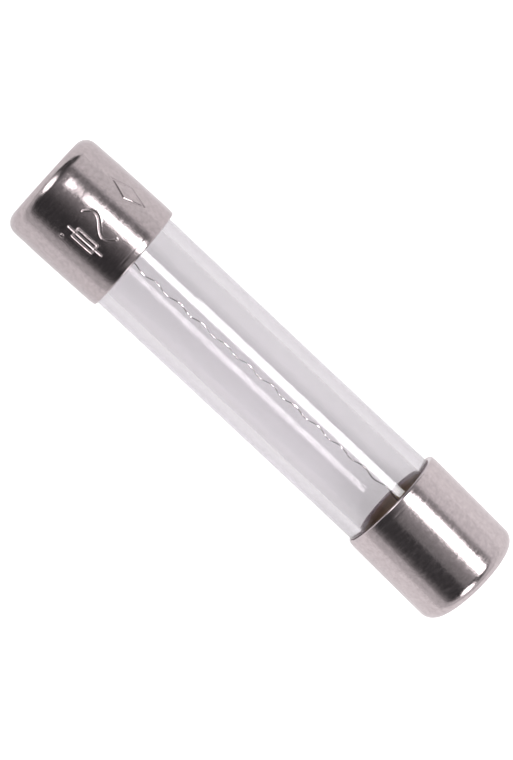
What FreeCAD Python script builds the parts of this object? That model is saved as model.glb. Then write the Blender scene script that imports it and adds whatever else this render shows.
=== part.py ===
"""Glass cartridge fuse, 6.3 x 32 mm size: eight separate solids, one STEP file each.

The origin is the middle of the fuse. +X runs along the fuse, from the stamped left cap to
the plain right cap, and +Z is up. All sizes are in millimetres.

Each cap is drawn in its own lengthwise coordinate u, which is 0 on the outside of its
closed end and grows towards its open rim. end_x() turns u into X for either end.
"""

import os
from math import atan, cos, pi, sin, sqrt

import FreeCAD
import Part

# Whole fuse
OVERALL_LENGTH = 31.0

# End caps: nickel-plated brass, drawn from thin strip
CAP_DIAMETER = 6.35
CAP_LENGTH = 6.25
CAP_WALL = 0.25
CROWN_RADIUS = 0.75  # outside radius between the closed end and the wall
RIM_BAND_WIDTH = 0.45  # the last stretch of wall, rolled in to grip the glass
RIM_ROLL_IN = 0.03  # how much smaller the rim band is, on the radius
RIM_STEP_WIDTH = 0.06  # length of the slope between wall and rim band

# Glass tube
GLASS_DIAMETER = 5.76
GLASS_WALL = 0.69
GLASS_EDGE_RADIUS = 0.2  # fire-polished ends
GLASS_END_GAP = 0.35  # from the tube's end to the inside of the cap's closed end

# Solder inside each closed end
SOLDER_BORE_GAP = 0.01  # solder doesn't wet glass, so it shrinks clear of the bore
SOLDER_SHOULDER = 0.3  # how far the solder's edge stands into the bore
SOLDER_CROWN = 0.3  # how much higher its middle is than its edge

# Fuse element: a fine resistance wire in a long, narrow helix, slightly slanting
WIRE_DIAMETER = 0.05
WINDING_RADIUS = 0.076  # to the middle of the wire
WINDING_PITCH = 1.62
WINDING_TURNS = 17.5
WINDING_START_ANGLE = 60.0  # degrees round the helix
LEAD_LENGTH = 0.7  # straight wire past each end of the helix, into the solder
ELEMENT_MID_Y = 0.11  # how far the helix passes from the tube's axis at mid length
ELEMENT_SLOPE = 0.0274  # its sideways drift for each millimetre of length

# Sizes that follow from those above
HALF_LENGTH = OVERALL_LENGTH / 2
CAP_RADIUS = CAP_DIAMETER / 2
CAP_BORE_RADIUS = CAP_RADIUS - CAP_WALL
INNER_CROWN_RADIUS = CROWN_RADIUS - CAP_WALL
BAND_START = CAP_LENGTH - RIM_BAND_WIDTH
WALL_END = BAND_START - RIM_STEP_WIDTH
GLASS_RADIUS = GLASS_DIAMETER / 2
BORE_RADIUS = GLASS_RADIUS - GLASS_WALL
GLASS_END = CAP_WALL + GLASS_END_GAP
SOLDER_RADIUS = BORE_RADIUS - SOLDER_BORE_GAP
SOLDER_EDGE = GLASS_END + SOLDER_SHOULDER
SOLDER_TOP = SOLDER_EDGE + SOLDER_CROWN
WINDING_LENGTH = WINDING_PITCH * WINDING_TURNS

X_AXIS = FreeCAD.Vector(1, 0, 0)
Z_AXIS = FreeCAD.Vector(0, 0, 1)
ORIGIN = FreeCAD.Vector(0, 0, 0)


def end_x(side, u):
    """X of a point u inside the closed end; side is -1 at the left end and 1 at the right."""
    return side * (HALF_LENGTH - u)


def profile_point(side, u, radius):
    return FreeCAD.Vector(end_x(side, u), 0, radius)


def quarter_arc(side, centre, radius, start_angle, end_angle):
    """An arc round centre = (u, r), from one angle to another, with 0 along +u and 90 along +r."""
    points = []
    for angle in (start_angle, (start_angle + end_angle) / 2, end_angle):
        turn = angle * pi / 180
        points.append(
            profile_point(side, centre[0] + radius * cos(turn), centre[1] + radius * sin(turn))
        )
    return Part.Arc(*points).toShape()


def line(side, start, end):
    return Part.makeLine(profile_point(side, *start), profile_point(side, *end))


def turned(edges):
    """The solid made by turning a closed outline once round the X axis."""
    outline = Part.Wire(Part.__sortEdges__(edges))
    return Part.Face(outline).revolve(ORIGIN, X_AXIS, 360)


def end_cap(side):
    """One drawn cup, with a rounded crown and a rim band rolled in towards the glass."""
    crown_centre = (CROWN_RADIUS, CAP_RADIUS - CROWN_RADIUS)
    band_outside = CAP_RADIUS - RIM_ROLL_IN
    band_inside = CAP_BORE_RADIUS - RIM_ROLL_IN
    corners_outside = [
        (CROWN_RADIUS, CAP_RADIUS),
        (WALL_END, CAP_RADIUS),
        (BAND_START, band_outside),
        (CAP_LENGTH, band_outside),
        (CAP_LENGTH, band_inside),
        (BAND_START, band_inside),
        (WALL_END, CAP_BORE_RADIUS),
        (CROWN_RADIUS, CAP_BORE_RADIUS),
    ]
    edges = [
        line(side, (0, 0), (0, crown_centre[1])),
        quarter_arc(side, crown_centre, CROWN_RADIUS, 180, 90),
        quarter_arc(side, crown_centre, INNER_CROWN_RADIUS, 90, 180),
        line(side, (CAP_WALL, crown_centre[1]), (CAP_WALL, 0)),
        line(side, (CAP_WALL, 0), (0, 0)),
    ]
    for start, end in zip(corners_outside, corners_outside[1:]):
        edges.append(line(side, start, end))
    return turned(edges)


def glass_tube():
    """The clear tube, open at both ends, with every end edge melted round."""
    edges = []
    edge = GLASS_EDGE_RADIUS
    for side in (-1, 1):
        outer_centre = (GLASS_END + edge, GLASS_RADIUS - edge)
        inner_centre = (GLASS_END + edge, BORE_RADIUS + edge)
        edges += [
            quarter_arc(side, outer_centre, edge, 90, 180),
            line(side, (GLASS_END, outer_centre[1]), (GLASS_END, inner_centre[1])),
            quarter_arc(side, inner_centre, edge, 180, 270),
        ]
    for radius in (GLASS_RADIUS, BORE_RADIUS):
        edges.append(
            Part.makeLine(
                profile_point(-1, GLASS_END + edge, radius),
                profile_point(1, GLASS_END + edge, radius),
            )
        )
    return turned(edges)


def cap_cement(side):
    """The thin sleeve of cement between the glass and the straight wall of a cap."""
    length = WALL_END - CROWN_RADIUS
    start = FreeCAD.Vector(min(end_x(side, CROWN_RADIUS), end_x(side, WALL_END)), 0, 0)
    outside = Part.makeCylinder(CAP_BORE_RADIUS, length, start, X_AXIS)
    inside = Part.makeCylinder(GLASS_RADIUS, length, start, X_AXIS)
    return outside.cut(inside)


def solder_blank(side):
    """Solder that fills the closed end behind the glass and domes up a little into the bore."""
    crown_centre = (CROWN_RADIUS, CAP_RADIUS - CROWN_RADIUS)
    meet = GLASS_END
    meet_radius = crown_centre[1] + sqrt(INNER_CROWN_RADIUS**2 - (CROWN_RADIUS - meet) ** 2)
    meet_angle = 180 - atan((meet_radius - crown_centre[1]) / (CROWN_RADIUS - meet)) * 180 / pi
    dome_radius = (SOLDER_RADIUS**2 + SOLDER_CROWN**2) / (2 * SOLDER_CROWN)
    dome_middle = SOLDER_TOP - dome_radius + sqrt(dome_radius**2 - (SOLDER_RADIUS / 2) ** 2)
    dome = Part.Arc(
        profile_point(side, SOLDER_EDGE, SOLDER_RADIUS),
        profile_point(side, dome_middle, SOLDER_RADIUS / 2),
        profile_point(side, SOLDER_TOP, 0),
    )
    edges = [
        line(side, (CAP_WALL, 0), (CAP_WALL, crown_centre[1])),
        quarter_arc(side, crown_centre, INNER_CROWN_RADIUS, 180, meet_angle),
        line(side, (meet, meet_radius), (meet, SOLDER_RADIUS)),
        line(side, (meet, SOLDER_RADIUS), (SOLDER_EDGE, SOLDER_RADIUS)),
        dome.toShape(),
        line(side, (SOLDER_TOP, 0), (CAP_WALL, 0)),
    ]
    return turned(edges)


def place_along_element(shape):
    """Lays a shape built along +Z onto the slanting line of the fuse element."""
    direction = FreeCAD.Vector(1, ELEMENT_SLOPE, 0)
    turn = FreeCAD.Rotation(Z_AXIS, direction)
    shape.Placement = FreeCAD.Placement(FreeCAD.Vector(0, ELEMENT_MID_Y, 0), turn)
    return shape


def winding_point(height):
    """A point on the helix's centre line and the wire's direction there, built along +Z."""
    turn = (WINDING_START_ANGLE + 360 * (height + WINDING_LENGTH / 2) / WINDING_PITCH) * pi / 180
    point = FreeCAD.Vector(WINDING_RADIUS * cos(turn), WINDING_RADIUS * sin(turn), height)
    around = 2 * pi * WINDING_RADIUS
    direction = FreeCAD.Vector(-around * sin(turn), around * cos(turn), WINDING_PITCH)
    return point, direction.normalize()


def wire_lead(height, outward):
    """The straight wire that leaves the helix at one end and runs into the solder."""
    point, direction = winding_point(height)
    return Part.makeCylinder(WIRE_DIAMETER / 2, LEAD_LENGTH, point, direction * outward)


def wire_leads():
    half = WINDING_LENGTH / 2
    return {-1: wire_lead(-half, -1), 1: wire_lead(half, 1)}


def element_wire():
    """The wire: a right-handed helix with a straight lead at each end, as one solid."""
    helix = Part.makeHelix(WINDING_PITCH, WINDING_LENGTH, WINDING_RADIUS)
    helix.rotate(ORIGIN, Z_AXIS, WINDING_START_ANGLE)
    helix.translate(FreeCAD.Vector(0, 0, -WINDING_LENGTH / 2))
    point, direction = winding_point(-WINDING_LENGTH / 2)
    section = Part.Wire(Part.makeCircle(WIRE_DIAMETER / 2, point, direction))
    winding = Part.Wire(helix.Edges).makePipeShell([section], True, True)
    wire = winding.multiFuse(list(wire_leads().values()))
    return place_along_element(wire)


def solder(side):
    """One solder pool, with the wire's lead set into it."""
    lead = place_along_element(wire_leads()[side])
    return solder_blank(side).cut(lead)


def build():
    nodes = {
        "glass_tube": glass_tube(),
        "element_wire": element_wire(),
    }
    for name, side in (("left", -1), ("right", 1)):
        nodes["end_cap_" + name] = end_cap(side)
        nodes["cap_cement_" + name] = cap_cement(side)
        nodes["solder_" + name] = solder(side)
    return nodes


def main():
    os.makedirs("parts", exist_ok=True)
    for name, shape in build().items():
        if not shape.isValid() or len(shape.Solids) != 1:
            raise RuntimeError(name + " is not one valid solid")
        shape.Solids[0].exportStep("parts/" + name + ".step")
        box = shape.BoundBox
        print(f"{name:18} {shape.Volume:9.4f} mm3  X {box.XMin:8.3f} {box.XMax:8.3f}")


main()
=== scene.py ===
"""Looks of a glass cartridge fuse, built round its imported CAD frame.

Everything is in metres in the row's frame: +X runs from the stamped left cap to the plain
right cap, and +Z is up. Sizes come from the CAD boxes where they show there, and the rest
are named below.
"""

from math import atan2, cos, pi, radians, sin, sqrt

import bpy
import numpy as np
from mathutils import Matrix, Vector


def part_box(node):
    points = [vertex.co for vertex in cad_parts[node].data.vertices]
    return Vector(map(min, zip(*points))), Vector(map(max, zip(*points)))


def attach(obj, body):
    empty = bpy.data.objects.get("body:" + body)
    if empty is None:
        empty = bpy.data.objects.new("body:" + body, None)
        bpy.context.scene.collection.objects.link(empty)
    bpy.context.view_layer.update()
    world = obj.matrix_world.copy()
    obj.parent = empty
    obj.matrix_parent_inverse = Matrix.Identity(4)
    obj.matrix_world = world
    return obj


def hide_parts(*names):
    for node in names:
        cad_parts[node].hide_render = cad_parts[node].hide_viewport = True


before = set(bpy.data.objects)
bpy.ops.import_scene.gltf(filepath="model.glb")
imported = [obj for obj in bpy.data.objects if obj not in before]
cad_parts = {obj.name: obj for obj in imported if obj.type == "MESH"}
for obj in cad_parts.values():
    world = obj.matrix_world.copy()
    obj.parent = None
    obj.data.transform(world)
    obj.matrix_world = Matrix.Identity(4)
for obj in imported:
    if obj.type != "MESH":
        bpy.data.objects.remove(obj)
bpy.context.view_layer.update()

MM = 0.001
BODY = "root"
SIDES = {"left": -1, "right": 1}

# Sizes read from the CAD
CAP_LOW, CAP_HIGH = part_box("end_cap_right")
GLASS_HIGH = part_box("glass_tube")[1]
CEMENT_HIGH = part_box("cap_cement_right")[1]
HALF_LENGTH = CAP_HIGH[0]
CAP_RADIUS = CAP_HIGH[2]
CAP_LENGTH = CAP_HIGH[0] - CAP_LOW[0]
GLASS_RADIUS = GLASS_HIGH[2]
GLASS_HALF = GLASS_HIGH[0]
CAP_BORE_RADIUS = CEMENT_HIGH[2]

# Sizes that the boxes don't show, as in the CAD
CROWN_RADIUS = 0.75 * MM
RIM_BAND_WIDTH = 0.45 * MM
RIM_ROLL_IN = 0.03 * MM
RIM_STEP_WIDTH = 0.06 * MM
GLASS_WALL = 0.69 * MM
GLASS_EDGE_RADIUS = 0.2 * MM
SOLDER_BORE_GAP = 0.01 * MM
SOLDER_SHOULDER = 0.3 * MM
SOLDER_CROWN = 0.3 * MM
WIRE_RADIUS = 0.025 * MM
WINDING_RADIUS = 0.076 * MM
WINDING_PITCH = 1.62 * MM
WINDING_TURNS = 17.5
WINDING_START_ANGLE = 60.0
LEAD_LENGTH = 0.7 * MM
ELEMENT_MID_Y = 0.11 * MM
ELEMENT_SLOPE = 0.0274

# Sizes that follow
CAP_WALL = CAP_RADIUS - CAP_BORE_RADIUS
BAND_START = CAP_LENGTH - RIM_BAND_WIDTH
WALL_END = BAND_START - RIM_STEP_WIDTH
BORE_RADIUS = GLASS_RADIUS - GLASS_WALL
GLASS_END = HALF_LENGTH - GLASS_HALF


# ---------------------------------------------------------------- meshes


def new_mesh(name, points, faces):
    mesh = bpy.data.meshes.new(name)
    mesh.from_pydata([tuple(p) for p in points], [], faces)
    mesh.polygons.foreach_set("use_smooth", [True] * len(mesh.polygons))
    mesh.validate()
    mesh.update()
    piece = bpy.data.objects.new(name, mesh)
    bpy.context.scene.collection.objects.link(piece)
    return piece


def grid_faces(rows, columns, close_rows, flip=False):
    """Quads over rows of points that each close into a ring; close_rows joins last to first."""
    faces = []
    for i in range(rows if close_rows else rows - 1):
        below = (i + 1) % rows
        for j in range(columns):
            beside = (j + 1) % columns
            quad = (
                i * columns + j,
                i * columns + beside,
                below * columns + beside,
                below * columns + j,
            )
            faces.append(quad[::-1] if flip else quad)
    return faces


def arc(centre, radius, start, end, steps):
    """Points on an arc in the (u, r) plane; angles in degrees, 0 along +u and 90 along +r."""
    points = []
    for k in range(steps + 1):
        turn = radians(start + (end - start) * k / steps)
        points.append((centre[0] + radius * cos(turn), centre[1] + radius * sin(turn)))
    return points


def between(start, end, steps):
    """The points strictly between start and end that cut the line into equal steps."""
    points = []
    for k in range(1, steps):
        share = k / steps
        points.append(
            (
                start[0] + (end[0] - start[0]) * share,
                start[1] + (end[1] - start[1]) * share,
            )
        )
    return points


def even_angles(count):
    return [2 * pi * k / count for k in range(count)]


def turned(name, side, outline, angles, relief=None, shift=None, poles=False):
    """A closed outline of (u, r) points turned round the X axis.

    u is 0 on the outside of a cap's closed end and grows towards the middle of the fuse.
    An angle is 0 at the top and grows towards +Y. relief(u, r, angle) is how far each
    point sinks towards the axis, and shift(u, r, x, y, z) then returns new x and y. With
    poles, the outline starts and ends on the axis.
    """
    outline = np.array(outline)
    angles = np.array(angles)
    body = outline[1:-1] if poles else outline
    u = np.repeat(body[:, 0][:, None], len(angles), 1)
    r = np.repeat(body[:, 1][:, None], len(angles), 1)
    turn = np.repeat(angles[None, :], len(body), 0)
    sunk = r if relief is None else r - relief(u, r, turn)
    x = side * (HALF_LENGTH - u)
    y = sunk * np.sin(turn)
    z = sunk * np.cos(turn)
    if shift is not None:
        x, y = shift(u, r, x, y, z)
    points = np.stack([x, y, z], 2).reshape(-1, 3)
    flip = side < 0
    faces = grid_faces(len(body), len(angles), not poles, flip)
    if poles:
        points = list(points)
        for row, pole in ((0, outline[0]), (len(body) - 1, outline[-1])):
            points.append((side * (HALF_LENGTH - pole[0]), 0, 0))
            last = len(points) - 1
            for j in range(len(angles)):
                beside = (j + 1) % len(angles)
                fan = (last, row * len(angles) + beside, row * len(angles) + j)
                faces.append(fan if (row == 0) != flip else fan[::-1])
    return new_mesh(name, points, faces)


def depth_in_wall(u, r):
    """How deep a point is below the outside of a cap, its rounded crown included."""
    past_wall = np.maximum(r - (CAP_RADIUS - CROWN_RADIUS), 0)
    past_end = np.maximum(CROWN_RADIUS - u, 0)
    return CROWN_RADIUS - np.hypot(past_wall, past_end)


def cap_shift(name, whole_wall=True):
    """How a cap pressed on by hand leans: its outer skin as a whole, and then its open rim.

    The inside stays square to the tube, because it grips the glass. Without whole_wall,
    only the part near the rim moves, as the cement there does.
    """
    side = SIDES[name]
    lean = radians(CAP_LEAN[name])
    slant, pitch = (radians(angle) for angle in RIM_SLANT[name])
    middle = side * (HALF_LENGTH - CAP_LENGTH / 2)

    def shift(u, r, x, y, z):
        skin = (LEAN_NO_DEPTH - depth_in_wall(u, r)) / (LEAN_NO_DEPTH - LEAN_FULL_DEPTH)
        skin = np.clip(skin, 0, 1)
        skin = skin if whole_wall else 0 * skin
        rim = np.clip((u - RIM_SLANT_START) / (CAP_LENGTH - RIM_SLANT_START), 0, 1)
        moved_x = x - np.maximum(skin, rim) * lean * y - rim * (slant * y + pitch * z)
        return moved_x, y + skin * lean * (x - middle)

    return shift


def hump(value, middle, half_width):
    """A smooth bump from 0 to 1 and back, centred on middle."""
    share = np.clip(np.abs(value - middle) / half_width, 0, 1)
    return 0.5 + 0.5 * np.cos(pi * share)


# ---------------------------------------------------------------- cap surface

MARK_LOW = 2.55 * MM  # where the mark starts and ends, from the cap's closed end
MARK_HIGH = 4.75 * MM
MARK_START = -1.6 * MM  # and round the cap, from its top towards +Y
MARK_END = 3.1 * MM
STROKE_HALF_WIDTH = 0.08 * MM
STROKE_DEPTH = 0.05 * MM
SIDE_FADE = 1.5  # strokes get shallower down the cap's side, by this power of the cosine
BURR_HEIGHT = 0.006 * MM
BURR_MIDDLE = 1.4 * STROKE_HALF_WIDTH  # from the middle of the stroke
BURR_HALF_WIDTH = 0.6 * STROKE_HALF_WIDTH
MARK_MARGIN = 2.2 * STROKE_HALF_WIDTH  # the fine mesh reaches this far past the mark
SURFACE_DEPTH = 0.05 * MM  # relief is pressed only into points less deep than this
CRIMP_DEPTH = 0.005 * MM
CRIMP_HALF_WIDTH = 0.08 * MM
NECK_DEPTH = 0.022 * MM  # the wall is this much slimmer at the crown, on the radius
NECK_LOW = 1.3 * MM
NECK_HIGH = 2.4 * MM
EASE_DEPTH = 0.009 * MM  # how the wall starts to curve before the crown proper
EASE_HIGH = 1.02 * MM


def fuse_sign(middle, half_width, inset):
    """The usual drawing sign for a fuse: a line that runs through a box."""
    low = MARK_LOW + inset
    high = MARK_HIGH - inset
    line = [(middle, MARK_LOW), (middle, MARK_HIGH)]
    box = [
        (middle - half_width, low),
        (middle + half_width, low),
        (middle + half_width, high),
        (middle - half_width, high),
        (middle - half_width, low),
    ]
    return [line, box]


def wave_sign(middle, sway, steps=40):
    """The wavy sign for alternating current."""
    length = MARK_HIGH - MARK_LOW
    wave = []
    for k in range(steps + 1):
        share = k / steps
        wave.append((middle + sway * sin(2 * pi * share), MARK_LOW + length * share))
    return wave


def diamond_sign(middle, half_width):
    centre = (MARK_LOW + MARK_HIGH) / 2
    return [
        (middle - half_width, centre),
        (middle, MARK_LOW),
        (middle + half_width, centre),
        (middle, MARK_HIGH),
        (middle - half_width, centre),
    ]


def mark_strokes():
    """The mark as polylines of (around, along) points in metres, unrolled from the cap.

    It is made of plain signs that name nothing: a dot, a fuse sign, a wave and a diamond.
    """
    dot = [(MARK_START, MARK_LOW), (MARK_START, MARK_LOW + 0.06 * MM)]
    line, box = fuse_sign(-1.0 * MM, 0.27 * MM, 0.45 * MM)
    wave = wave_sign(0.1 * MM, 0.36 * MM)
    diamond = diamond_sign(MARK_END - 0.5 * MM, 0.5 * MM)
    return [dot, line, box, wave, diamond]


def distance_to_strokes(around, along):
    """How far each point of an unrolled cap wall is from the nearest stroke of the mark."""
    nearest = np.full(around.shape, 1.0)
    for stroke in mark_strokes():
        for (a0, b0), (a1, b1) in zip(stroke, stroke[1:]):
            run = (a1 - a0) ** 2 + (b1 - b0) ** 2
            share = ((around - a0) * (a1 - a0) + (along - b0) * (b1 - b0)) / run
            share = np.clip(share, 0, 1)
            off = np.hypot(around - a0 - share * (a1 - a0), along - b0 - share * (b1 - b0))
            nearest = np.minimum(nearest, off)
    return nearest


def plain_relief(u, r, angle):
    """The crimp line before the rim band."""
    outside = depth_in_wall(u, r) < SURFACE_DEPTH
    return np.where(outside, CRIMP_DEPTH * hump(u, BAND_START, CRIMP_HALF_WIDTH), 0)


def marked_relief(u, r, angle):
    """The crimp line, a slimmer neck, and strokes pressed in with a low burr beside them."""
    outside = depth_in_wall(u, r) < SURFACE_DEPTH
    angle = np.where(angle > pi, angle - 2 * pi, angle)
    off = distance_to_strokes(angle * CAP_RADIUS, u)
    groove = STROKE_DEPTH * hump(off, 0, STROKE_HALF_WIDTH)
    groove = groove * np.clip(np.cos(angle), 0, 1) ** SIDE_FADE
    burr = BURR_HEIGHT * hump(off, BURR_MIDDLE, BURR_HALF_WIDTH)
    neck = NECK_DEPTH * hump(np.maximum(u, NECK_LOW), NECK_LOW, NECK_HIGH - NECK_LOW)
    ease = np.clip((EASE_HIGH - np.maximum(u, CROWN_RADIUS)) / (EASE_HIGH - CROWN_RADIUS), 0, 1)
    neck = (neck + EASE_DEPTH * ease**2) * r / CAP_RADIUS
    return plain_relief(u, r, angle) + np.where(outside, groove - burr + neck, 0)


# ---------------------------------------------------------------- pieces

FINE_STEP = 0.022 * MM  # mesh step where the mark is
LIP_RADIUS = 0.1 * MM
CAP_LEAN = {"left": 1.2, "right": -1.7}  # degrees in the XY plane
LEAN_FULL_DEPTH = 0.04 * MM  # the lean fades out between these depths below the outside
LEAN_NO_DEPTH = 0.22 * MM
RIM_SLANT = {"left": (1.2, 0.0), "right": (1.1, 2.7)}  # degrees off square, over Y and Z
RIM_SLANT_START = 4.6 * MM  # from the cap's closed end
CEMENT_BELOW_RIM = 0.06 * MM
STEPS_PER_TURN = 32
WIRE_SIDES = 12
WIRE_UV = "round_and_along"
CAP_SHADE = {"left": 0.87, "right": 1.0}  # the stamped cap's plating is a little duller


def cap_outline(fine):
    """One cap's wall in (u, r), from the middle of its closed end, out, and back inside."""
    crown_centre = (CROWN_RADIUS, CAP_RADIUS - CROWN_RADIUS)
    inner_crown = CROWN_RADIUS - CAP_WALL
    band_out = CAP_RADIUS - RIM_ROLL_IN
    band_in = CAP_BORE_RADIUS - RIM_ROLL_IN
    mark_low = MARK_LOW - MARK_MARGIN
    mark_high = MARK_HIGH + MARK_MARGIN
    mark_steps = int((mark_high - mark_low) / FINE_STEP) if fine else 8
    crimp_low = BAND_START - CRIMP_HALF_WIDTH
    crimp_high = BAND_START + CRIMP_HALF_WIDTH
    outline = [(0, 0)]
    outline += between((0, 0), (0, crown_centre[1]), 8)
    outline += arc(crown_centre, CROWN_RADIUS, 180, 90, 20)
    outline += between((CROWN_RADIUS, CAP_RADIUS), (mark_low, CAP_RADIUS), 24)
    outline += between((mark_low, CAP_RADIUS), (mark_high, CAP_RADIUS), mark_steps)
    outline += between((mark_high, CAP_RADIUS), (crimp_low, CAP_RADIUS), 5)
    outline += between((crimp_low, CAP_RADIUS), (crimp_high, CAP_RADIUS), 10)
    outline += between((crimp_high, CAP_RADIUS), (CAP_LENGTH - LIP_RADIUS, band_out), 5)
    outline += arc((CAP_LENGTH - LIP_RADIUS, band_out - LIP_RADIUS), LIP_RADIUS, 90, 0, 5)
    outline += arc((CAP_LENGTH - LIP_RADIUS, band_in + LIP_RADIUS), LIP_RADIUS, 0, -90, 5)
    outline += between((CAP_LENGTH - LIP_RADIUS, band_in), (BAND_START, band_in), 4)
    outline += [(BAND_START, band_in), (WALL_END, CAP_BORE_RADIUS)]
    outline += between((WALL_END, CAP_BORE_RADIUS), (CROWN_RADIUS, CAP_BORE_RADIUS), 8)
    outline += arc(crown_centre, inner_crown, 90, 180, 10)
    outline += between((CAP_WALL, crown_centre[1]), (CAP_WALL, 0), 5)
    outline += [(CAP_WALL, 0)]
    return outline


def mark_angles():
    """Angles round the cap, close together where the mark is."""
    start = (MARK_START - MARK_MARGIN) / CAP_RADIUS
    end = (MARK_END + MARK_MARGIN) / CAP_RADIUS
    fine_count = int((end - start) * CAP_RADIUS / FINE_STEP)
    coarse_count = 110
    rest = 2 * pi - (end - start)
    angles = [start + (end - start) * k / fine_count for k in range(fine_count)]
    angles += [end + rest * k / coarse_count for k in range(coarse_count)]
    return [a % (2 * pi) for a in angles]


def make_caps():
    for name, side in SIDES.items():
        material = nickel_material("satin_nickel_" + name, CAP_SHADE[name])
        marked = name == "left"
        angles = mark_angles() if marked else even_angles(240)
        relief = marked_relief if marked else plain_relief
        shift = cap_shift(name)
        outline = cap_outline(marked)
        cap = turned("cap_" + name, side, outline, angles, relief, shift, poles=True)
        cap.data.materials.append(material)
        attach(cap, BODY)
        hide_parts("end_cap_" + name)


def make_glass(material):
    edge = GLASS_EDGE_RADIUS
    outer = GLASS_RADIUS - edge
    inner = BORE_RADIUS + edge
    near = GLASS_END + edge
    far = 2 * HALF_LENGTH - near
    outline = []
    outline += arc((near, outer), edge, 180, 90, 8)
    outline += between((near, GLASS_RADIUS), (far, GLASS_RADIUS), 60)
    outline += arc((far, outer), edge, 90, 0, 8)
    outline += arc((far, inner), edge, 0, -90, 8)
    outline += between((far, BORE_RADIUS), (near, BORE_RADIUS), 60)
    outline += arc((near, inner), edge, -90, -180, 8)
    glass = turned("glass_body", 1, outline, even_angles(256))
    glass.data.materials.append(material)
    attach(glass, BODY)
    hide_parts("glass_tube")


def make_cement(material):
    """A thin sleeve that fills the joint and reaches into the rim band, where its pale colour is a
    painted reflection of lit bare nickel.
    """
    inner = GLASS_RADIUS
    band_in = CAP_BORE_RADIUS - RIM_ROLL_IN
    end = CAP_LENGTH - CEMENT_BELOW_RIM
    for name, side in SIDES.items():
        outline = [(CROWN_RADIUS, inner), (CROWN_RADIUS, CAP_BORE_RADIUS)]
        outline += between((CROWN_RADIUS, CAP_BORE_RADIUS), (WALL_END, CAP_BORE_RADIUS), 6)
        outline += [(WALL_END, CAP_BORE_RADIUS), (BAND_START, band_in)]
        outline += between((BAND_START, band_in), (end, band_in), 6)
        outline += [(end, band_in), (end, inner)]
        outline += between((end, inner), (CROWN_RADIUS, inner), 12)
        shift = cap_shift(name, whole_wall=False)
        cement = turned("cement_" + name, side, outline, even_angles(160), shift=shift)
        cement.data.materials.append(material)
        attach(cement, BODY)
        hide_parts("cap_cement_" + name)


def make_solder(material):
    """Solder that fills each closed end behind the glass and domes up a little in its bore."""
    dome_steps = 12
    for name, side in SIDES.items():
        crown_centre = (CROWN_RADIUS, CAP_RADIUS - CROWN_RADIUS)
        inner_crown = CROWN_RADIUS - CAP_WALL
        meet_rise = sqrt(inner_crown**2 - (CROWN_RADIUS - GLASS_END) ** 2)
        meet_angle = 180 - atan2(meet_rise, CROWN_RADIUS - GLASS_END) * 180 / pi
        radius = BORE_RADIUS - SOLDER_BORE_GAP
        edge = GLASS_END + SOLDER_SHOULDER
        outline = [(CAP_WALL, 0)]
        outline += between((CAP_WALL, 0), (CAP_WALL, crown_centre[1]), 5)
        outline += arc(crown_centre, inner_crown, 180, meet_angle, 8)
        outline += [(GLASS_END, radius)]
        for k in range(dome_steps + 1):
            share = k / dome_steps
            outline.append((edge + SOLDER_CROWN * sin(share * pi / 2) ** 2, radius * (1 - share)))
        solder = turned("solder_pool_" + name, side, outline, even_angles(96), poles=True)
        solder.data.materials.append(material)
        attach(solder, BODY)
        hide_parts("solder_" + name)


def element_place():
    """Turns a shape built along +Z onto the slanting line of the fuse element."""
    turn = Vector((0, 0, 1)).rotation_difference(Vector((1, ELEMENT_SLOPE, 0)))
    return Matrix.Translation((0, ELEMENT_MID_Y, 0)) @ turn.to_matrix().to_4x4()


def tube_along(name, centres, radius, sides):
    """A round tube through closely spaced centre points, with flat closed ends.

    Its UV map runs once round the tube in U, and along it in V.
    """
    centres = [Vector(c) for c in centres]
    points = []
    across = Vector((0, 1, 0))
    for k, centre in enumerate(centres):
        ahead = centres[min(k + 1, len(centres) - 1)] - centres[max(k - 1, 0)]
        ahead.normalize()
        across = (across - ahead * across.dot(ahead)).normalized()
        other = ahead.cross(across)
        for j in range(sides):
            turn = 2 * pi * j / sides
            points.append(centre + (across * cos(turn) + other * sin(turn)) * radius)
    faces = grid_faces(len(centres), sides, False)
    faces.append(tuple(range(sides))[::-1])
    faces.append(tuple(range((len(centres) - 1) * sides, len(centres) * sides)))
    tube = new_mesh(name, points, faces)
    uv = tube.data.uv_layers.new(name=WIRE_UV).data
    for face in tube.data.polygons:
        columns = [vertex % sides for vertex in face.vertices]
        seam = max(columns) - min(columns) == sides - 1
        for loop, vertex, column in zip(face.loop_indices, face.vertices, columns):
            turned_once = 1 if seam and column == 0 else 0
            uv[loop].uv = (column / sides + turned_once, vertex // sides / sides)
    return tube


def winding_centres():
    """The wire's centre line: a straight lead, the right-handed winding, a straight lead."""
    length = WINDING_PITCH * WINDING_TURNS
    steps = int(WINDING_TURNS * STEPS_PER_TURN)
    points = []
    for k in range(steps + 1):
        turn = radians(WINDING_START_ANGLE) + 2 * pi * WINDING_TURNS * k / steps
        points.append(
            Vector(
                (
                    WINDING_RADIUS * cos(turn),
                    WINDING_RADIUS * sin(turn),
                    length * (k / steps - 0.5),
                )
            )
        )
    first = (points[0] - points[1]).normalized() * LEAD_LENGTH
    last = (points[-1] - points[-2]).normalized() * LEAD_LENGTH
    return [points[0] + first] + points + [points[-1] + last]


def make_element(material):
    place = element_place()
    centres = [place @ p for p in winding_centres()]
    wire = tube_along("fuse_wire", centres, WIRE_RADIUS, WIRE_SIDES)
    wire.data.materials.append(material)
    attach(wire, BODY)
    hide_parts("element_wire")
    return wire


# ---------------------------------------------------------------- materials


def new_material(name):
    material = bpy.data.materials.new(name)
    material.use_nodes = True
    nodes = material.node_tree.nodes
    shader = nodes.get("Principled BSDF")
    return material, nodes, material.node_tree.links, shader


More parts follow.
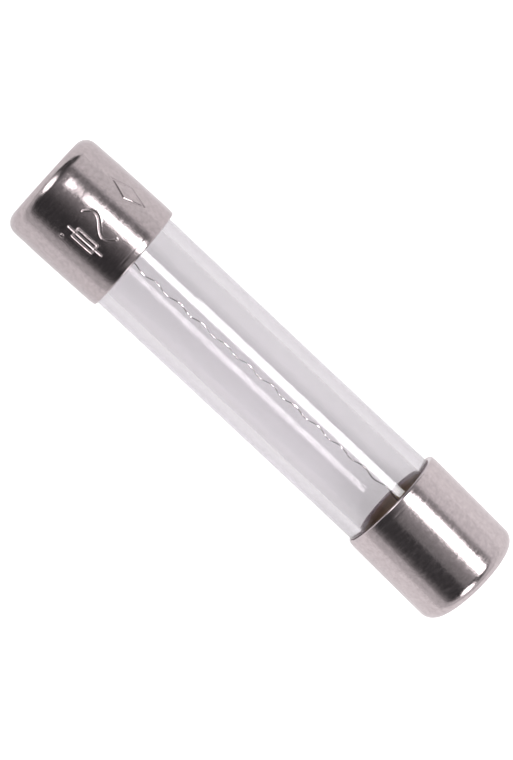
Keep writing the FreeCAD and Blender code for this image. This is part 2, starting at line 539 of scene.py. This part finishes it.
def noise(nodes, links, coordinates, scale, detail=2.0, roughness=0.5):
    texture = nodes.new("ShaderNodeTexNoise")
    texture.inputs["Scale"].default_value = scale
    texture.inputs["Detail"].default_value = detail
    texture.inputs["Roughness"].default_value = roughness
    links.new(coordinates, texture.inputs["Vector"])
    return texture.outputs["Fac"]


def remap(nodes, links, value, low, high, to_low, to_high):
    node = nodes.new("ShaderNodeMapRange")
    node.inputs["From Min"].default_value = low
    node.inputs["From Max"].default_value = high
    node.inputs["To Min"].default_value = to_low
    node.inputs["To Max"].default_value = to_high
    links.new(value, node.inputs["Value"])
    return node.outputs["Result"]


def colour_ramp(nodes, links, value, stops):
    node = nodes.new("ShaderNodeValToRGB")
    ramp = node.color_ramp
    while len(ramp.elements) < len(stops):
        ramp.elements.new(0.5)
    for element, (place, colour) in zip(ramp.elements, stops):
        element.position = place
        element.color = (*colour, 1)
    links.new(value, node.inputs["Fac"])
    return node.outputs["Color"]


def bump(nodes, links, height, distance, strength):
    node = nodes.new("ShaderNodeBump")
    node.inputs["Distance"].default_value = distance
    node.inputs["Strength"].default_value = strength
    links.new(height, node.inputs["Height"])
    return node.outputs["Normal"]


def nickel_material(name, shade):
    """Satin nickel plate: grainy, with faint blotches in colour and in gloss."""
    material, nodes, links, shader = new_material(name)
    place = nodes.new("ShaderNodeTexCoord").outputs["Object"]
    round_the_cap = nodes.new("ShaderNodeMapping")
    round_the_cap.inputs["Scale"].default_value = (6, 1, 1)
    links.new(place, round_the_cap.inputs["Vector"])
    blotches = noise(nodes, links, place, 4000, 4, 0.7)
    streaks = noise(nodes, links, round_the_cap.outputs["Vector"], 2200, 3)
    grain = noise(nodes, links, place, 11000, 2)
    dark = [shade * part for part in (0.36, 0.314, 0.322)]
    light = [shade * part for part in (0.45, 0.394, 0.402)]
    colour = colour_ramp(nodes, links, blotches, [(0.3, dark), (0.7, light)])
    links.new(colour, shader.inputs["Base Color"])
    shader.inputs["Metallic"].default_value = 1.0
    shader.inputs["Specular Tint"].default_value = (0.85, 0.83, 0.84, 1)
    gloss = remap(nodes, links, streaks, 0.3, 0.7, 0.11, 0.27)
    links.new(gloss, shader.inputs["Roughness"])
    normal = bump(nodes, links, grain, 0.006 * MM, 0.5)
    links.new(normal, shader.inputs["Normal"])
    return material


def glass_and_painted_shade_material():
    """Glass with a faint violet cast, which lamps shine through. Its grey colour and absorption
    are darker than the glass alone: part is its own tint and part is painted shade, standing in
    for the shade on the floor under the tube.
    """
    material, nodes, links, shader = new_material("clear_glass")
    nodes.remove(shader)
    output = nodes.get("Material Output")
    place = nodes.new("ShaderNodeTexCoord").outputs["Object"]
    glass = nodes.new("ShaderNodeBsdfGlass")
    # Painted shade: this grey darkens every pass through the glass for the floor's shade under the
    # tube, on top of the glass's own faint tint.
    glass.inputs["Color"].default_value = (0.905, 0.902, 0.903, 1)
    glass.inputs["Roughness"].default_value = 0.0
    glass.inputs["IOR"].default_value = 1.5
    stretched = nodes.new("ShaderNodeMapping")
    stretched.inputs["Scale"].default_value = (0.15, 1, 1)
    links.new(place, stretched.inputs["Vector"])
    ripple = noise(nodes, links, stretched.outputs["Vector"], 500, 1)
    links.new(bump(nodes, links, ripple, 0.01 * MM, 0.006), glass.inputs["Normal"])
    clear = nodes.new("ShaderNodeBsdfTransparent")
    clear.inputs["Color"].default_value = (0.93, 0.92, 0.94, 1)
    rays = nodes.new("ShaderNodeLightPath")
    mix = nodes.new("ShaderNodeMixShader")
    links.new(rays.outputs["Is Shadow Ray"], mix.inputs["Fac"])
    links.new(glass.outputs["BSDF"], mix.inputs[1])
    links.new(clear.outputs["BSDF"], mix.inputs[2])
    links.new(mix.outputs["Shader"], output.inputs["Surface"])
    # The violet hue is the glass's own cast. Its density is raised so that it also paints in the
    # floor's shade under the tube.
    depth = nodes.new("ShaderNodeVolumeAbsorption")
    depth.inputs["Color"].default_value = (0.53, 0.48, 0.535, 1)
    depth.inputs["Density"].default_value = 420
    links.new(depth.outputs["Volume"], output.inputs["Volume"])
    return material


def cement_and_painted_rim_light_material():
    """Brown cement in the joint. At the cap's rim it is painted a pale grey-pink: a painted
    reflection that stands in for the rim band's bare nickel, lit by light from the floor.
    """
    raggedness = 0.35
    material, nodes, links, shader = new_material("cement")
    place = nodes.new("ShaderNodeTexCoord").outputs["Object"]
    split = nodes.new("ShaderNodeSeparateXYZ")
    links.new(place, split.inputs["Vector"])
    from_middle = nodes.new("ShaderNodeMath")
    from_middle.operation = "ABSOLUTE"
    links.new(split.outputs["X"], from_middle.inputs[0])
    rim = HALF_LENGTH - CAP_LENGTH
    depth = remap(nodes, links, from_middle.outputs["Value"], rim, rim + MM, 0, 1)
    ragged = noise(nodes, links, place, 1100, 4)
    edge = nodes.new("ShaderNodeMath")
    edge.operation = "MULTIPLY_ADD"
    edge.inputs[1].default_value = raggedness
    links.new(ragged, edge.inputs[0])
    links.new(depth, edge.inputs[2])
    # The first, pale grey-pink stop is a painted reflection of lit bare nickel at the rim; the
    # browns are the cement's own colour.
    colour = colour_ramp(
        nodes,
        links,
        edge.outputs["Value"],
        [
            (0.4, (0.65, 0.57, 0.56)),
            (0.5, (0.42, 0.3, 0.22)),
            (0.7, (0.32, 0.22, 0.13)),
            (0.9, (0.46, 0.33, 0.18)),
        ],
    )
    links.new(colour, shader.inputs["Base Color"])
    shader.inputs["Roughness"].default_value = 0.7
    return material


def wire_material():
    """Drawn resistance wire: its fine lengthwise marks spread a highlight round the wire."""
    material, nodes, links, shader = new_material("wire_alloy")
    place = nodes.new("ShaderNodeTexCoord").outputs["Object"]
    tone = noise(nodes, links, place, 3000, 4)
    colour = colour_ramp(
        nodes, links, tone, [(0.35, (0.16, 0.15, 0.145)), (0.65, (0.22, 0.205, 0.2))]
    )
    links.new(colour, shader.inputs["Base Color"])
    shader.inputs["Metallic"].default_value = 1.0
    shader.inputs["Roughness"].default_value = 0.2
    shader.inputs["Anisotropic"].default_value = 1.0
    round_the_wire = nodes.new("ShaderNodeTangent")
    round_the_wire.direction_type = "UV_MAP"
    round_the_wire.uv_map = WIRE_UV
    links.new(round_the_wire.outputs["Tangent"], shader.inputs["Tangent"])
    return material


def solder_material():
    """Solder whose tone and gloss wander together."""
    material, nodes, links, shader = new_material("solder")
    place = nodes.new("ShaderNodeTexCoord").outputs["Object"]
    tone = noise(nodes, links, place, 1200, 4)
    colour = colour_ramp(nodes, links, tone, [(0.35, (0.5, 0.5, 0.5)), (0.65, (0.65, 0.65, 0.66))])
    links.new(colour, shader.inputs["Base Color"])
    shader.inputs["Metallic"].default_value = 1.0
    gloss = remap(nodes, links, tone, 0.3, 0.7, 0.28, 0.42)
    links.new(gloss, shader.inputs["Roughness"])
    return material


# ---------------------------------------------------------------- stage

CAMERA_X = -14.65 * MM
CAMERA_HEIGHT = 135 * MM
CAMERA_TURN = 43.15  # degrees, as are the next two
CAMERA_TILT = -6.09
CAMERA_LEAN = -0.07
CAMERA_LENS = 122.5
LIGHT_HEIGHT = 0.6
LAMP_RADIANCE = 6000
LAMP_SIZE = (0.05, 0.05)
LAMPS = {"right_lamp": (0.448, 0.428, LIGHT_HEIGHT), "left_lamp": (-0.298, -0.239, LIGHT_HEIGHT)}
OVERHEAD = (0, -0.1186, 1)  # this and the next three are directions from the fuse
BACK = (0, 1, 0)
FLAG = (-0.73, 0.67, 0.12)
MAIN_STRIP = (-0.12, 0.33, 0.936)
FLOOR_HALF_SIZE = 3.0


def add_camera():
    data = bpy.data.cameras.new("camera")
    data.lens = CAMERA_LENS
    data.clip_start = 0.001
    data.clip_end = 20
    camera = bpy.data.objects.new("camera", data)
    turn = Matrix.Rotation(radians(CAMERA_TURN), 4, "Z")
    tilt = Matrix.Rotation(radians(CAMERA_TILT), 4, "Y")
    lean = Matrix.Rotation(radians(CAMERA_LEAN), 4, "X")
    camera.matrix_world = (
        Matrix.Translation((CAMERA_X, 0, CAMERA_HEIGHT)) @ lean @ tilt @ turn
    )
    bpy.context.scene.collection.objects.link(camera)
    bpy.context.scene.camera = camera


def add_softbox(name, middle, size, radiance, shape="RECTANGLE", face_down=False):
    """A soft light of the given radiance, facing down or towards the fuse."""
    data = bpy.data.lights.new(name, "AREA")
    data.shape = shape
    data.size = size[0]
    data.size_y = size[1]
    filled = pi / 4 if shape == "ELLIPSE" else 1
    data.energy = radiance * pi * size[0] * size[1] * filled
    light = bpy.data.objects.new(name, data)
    light.location = middle
    if not face_down:
        light.rotation_euler = Vector(middle).to_track_quat("Z", "Y").to_euler()
    light.visible_camera = False
    bpy.context.scene.collection.objects.link(light)
    return light


def add_lights(wire):
    """The studio's soft lights, and two small lamps whose light is linked to the wire alone."""
    height = LIGHT_HEIGHT
    add_softbox("main_strip", (0.195, 0.293, height), (0.41, 0.184), 13, face_down=True)
    add_softbox("main_strip_edge", (0.222, 0.41, height), (0.355, 0.05), 13, face_down=True)
    add_softbox("grey_card", (0.165, -0.05, height), (0.17, 0.36), 0.28, face_down=True)
    add_softbox("right_box", (0.58, -0.22, 0.5), (0.4, 0.44), 5, "ELLIPSE")
    add_softbox("left_box", (-0.57, -0.03, 0.45), (0.42, 0.46), 4.5, "ELLIPSE")
    only_wire = bpy.data.collections.new("lit_by_lamps")
    only_wire.objects.link(wire)
    for name, middle in LAMPS.items():
        lamp = add_softbox(name, middle, LAMP_SIZE, LAMP_RADIANCE, "ELLIPSE")
        lamp.light_linking.receiver_collection = only_wire


def mix_colours(nodes, links, blend, first, second):
    node = nodes.new("ShaderNodeMix")
    node.data_type = "RGBA"
    node.blend_type = blend
    node.inputs["Factor"].default_value = 1.0
    links.new(first, node.inputs["A"])
    links.new(second, node.inputs["B"])
    return node.outputs["Result"]


def along_direction(nodes, links, direction, axis):
    """How far a direction points along an axis, as their dot product."""
    node = nodes.new("ShaderNodeVectorMath")
    node.operation = "DOT_PRODUCT"
    node.inputs[1].default_value = axis
    links.new(direction, node.inputs[0])
    return node.outputs["Value"]


def add_world():
    """A studio: bright near the horizon, dark overhead, a halo by the strip, one black flag."""
    world = bpy.data.worlds.new("studio")
    bpy.context.scene.world = world
    world.use_nodes = True
    nodes = world.node_tree.nodes
    links = world.node_tree.links
    background = nodes.get("Background")
    background.inputs["Strength"].default_value = 1.3
    direction = nodes.new("ShaderNodeTexCoord").outputs["Generated"]
    height = along_direction(nodes, links, direction, OVERHEAD)
    horizon = colour_ramp(
        nodes,
        links,
        height,
        [
            (0.0, (1.0, 1.0, 1.0)),
            (0.42, (0.96, 0.95, 0.96)),
            (0.48, (0.35, 0.345, 0.35)),
            (0.56, (0.22, 0.217, 0.22)),
            (0.66, (0.08, 0.079, 0.08)),
            (0.8, (0, 0, 0)),
        ],
    )
    towards_back = along_direction(nodes, links, direction, BACK)
    back = colour_ramp(nodes, links, towards_back, [(0.1, (0.74,) * 3), (0.9, (1.0,) * 3)])
    towards_flag = along_direction(nodes, links, direction, FLAG)
    flag = colour_ramp(nodes, links, towards_flag, [(0.8, (1.0,) * 3), (0.92, (0.08,) * 3)])
    towards_strip = along_direction(nodes, links, direction, MAIN_STRIP)
    halo = colour_ramp(
        nodes,
        links,
        towards_strip,
        [
            (0.6, (0.055, 0.055, 0.057)),
            (0.77, (0.07, 0.069, 0.071)),
            (0.83, (0.09, 0.088, 0.09)),
            (0.875, (0.125, 0.122, 0.125)),
            (0.92, (0.18, 0.176, 0.18)),
            (0.956, (0.25, 0.245, 0.25)),
            (1.0, (0.3, 0.29, 0.3)),
        ],
    )
    lit = mix_colours(nodes, links, "MULTIPLY", horizon, back)
    lit = mix_colours(nodes, links, "MULTIPLY", lit, flag)
    sky = mix_colours(nodes, links, "LIGHTEN", halo, lit)
    links.new(sky, background.inputs["Color"])


def add_floor():
    size = FLOOR_HALF_SIZE
    drop = -CAP_RADIUS
    corners = [(-size, -size, drop), (size, -size, drop), (size, size, drop), (-size, size, drop)]
    floor = new_mesh("floor", corners, [(0, 1, 2, 3)])
    material, nodes, links, shader = new_material("white_paper")
    place = nodes.new("ShaderNodeTexCoord").outputs["Object"]
    tone = noise(nodes, links, place, 40, 2)
    stops = [(0.3, (0.39, 0.39, 0.39)), (0.7, (0.41, 0.41, 0.41))]
    links.new(colour_ramp(nodes, links, tone, stops), shader.inputs["Base Color"])
    shader.inputs["Emission Color"].default_value = (1, 1, 1, 1)
    shader.inputs["Emission Strength"].default_value = 0.94
    shader.inputs["Roughness"].default_value = 0.9
    shader.inputs["Specular IOR Level"].default_value = 0.1
    floor.data.materials.append(material)


def set_look():
    scene = bpy.context.scene
    scene.view_settings.view_transform = "Standard"
    scene.view_settings.look = "None"
    scene.cycles.max_bounces = 24
    scene.cycles.transmission_bounces = 24
    scene.cycles.transparent_max_bounces = 24
    scene.cycles.glossy_bounces = 8
    scene.cycles.diffuse_bounces = 4
    scene.cycles.sample_clamp_indirect = 0


def main():
    add_camera()
    add_world()
    add_floor()
    set_look()
    make_caps()
    make_glass(glass_and_painted_shade_material())
    make_cement(cement_and_painted_rim_light_material())
    make_solder(solder_material())
    wire = make_element(wire_material())
    add_lights(wire)


main()
